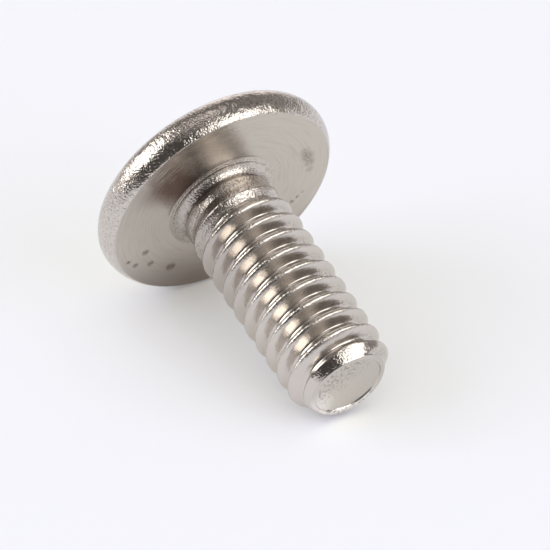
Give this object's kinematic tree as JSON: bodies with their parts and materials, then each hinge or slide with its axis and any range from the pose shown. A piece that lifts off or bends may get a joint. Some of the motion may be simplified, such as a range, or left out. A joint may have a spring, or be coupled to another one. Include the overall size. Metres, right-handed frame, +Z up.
{
  "type": "truss head machine screw",
  "caption": "Truss head machine screw with a wide domed head, cross recess, flat bearing face and fully threaded shank, lying on its side.",
  "frame": {"origin": "on the ground, under the middle of the lying screw's box", "axes": "+X level, from the head towards the tip; +Z up from the ground; the screw's own axis lies in the XZ plane and drops 16.7 degrees towards the tip"},
  "size_m": [0.0192, 0.0152, 0.0146],
  "materials": {
    "nickel_plated_steel": "warm nickel plating: turned marks under the head, a tumbled rim and a bright rolled thread"
  },
  "bodies": {
    "root": {"screw": "nickel_plated_steel"}
  },
  "joints": []
}
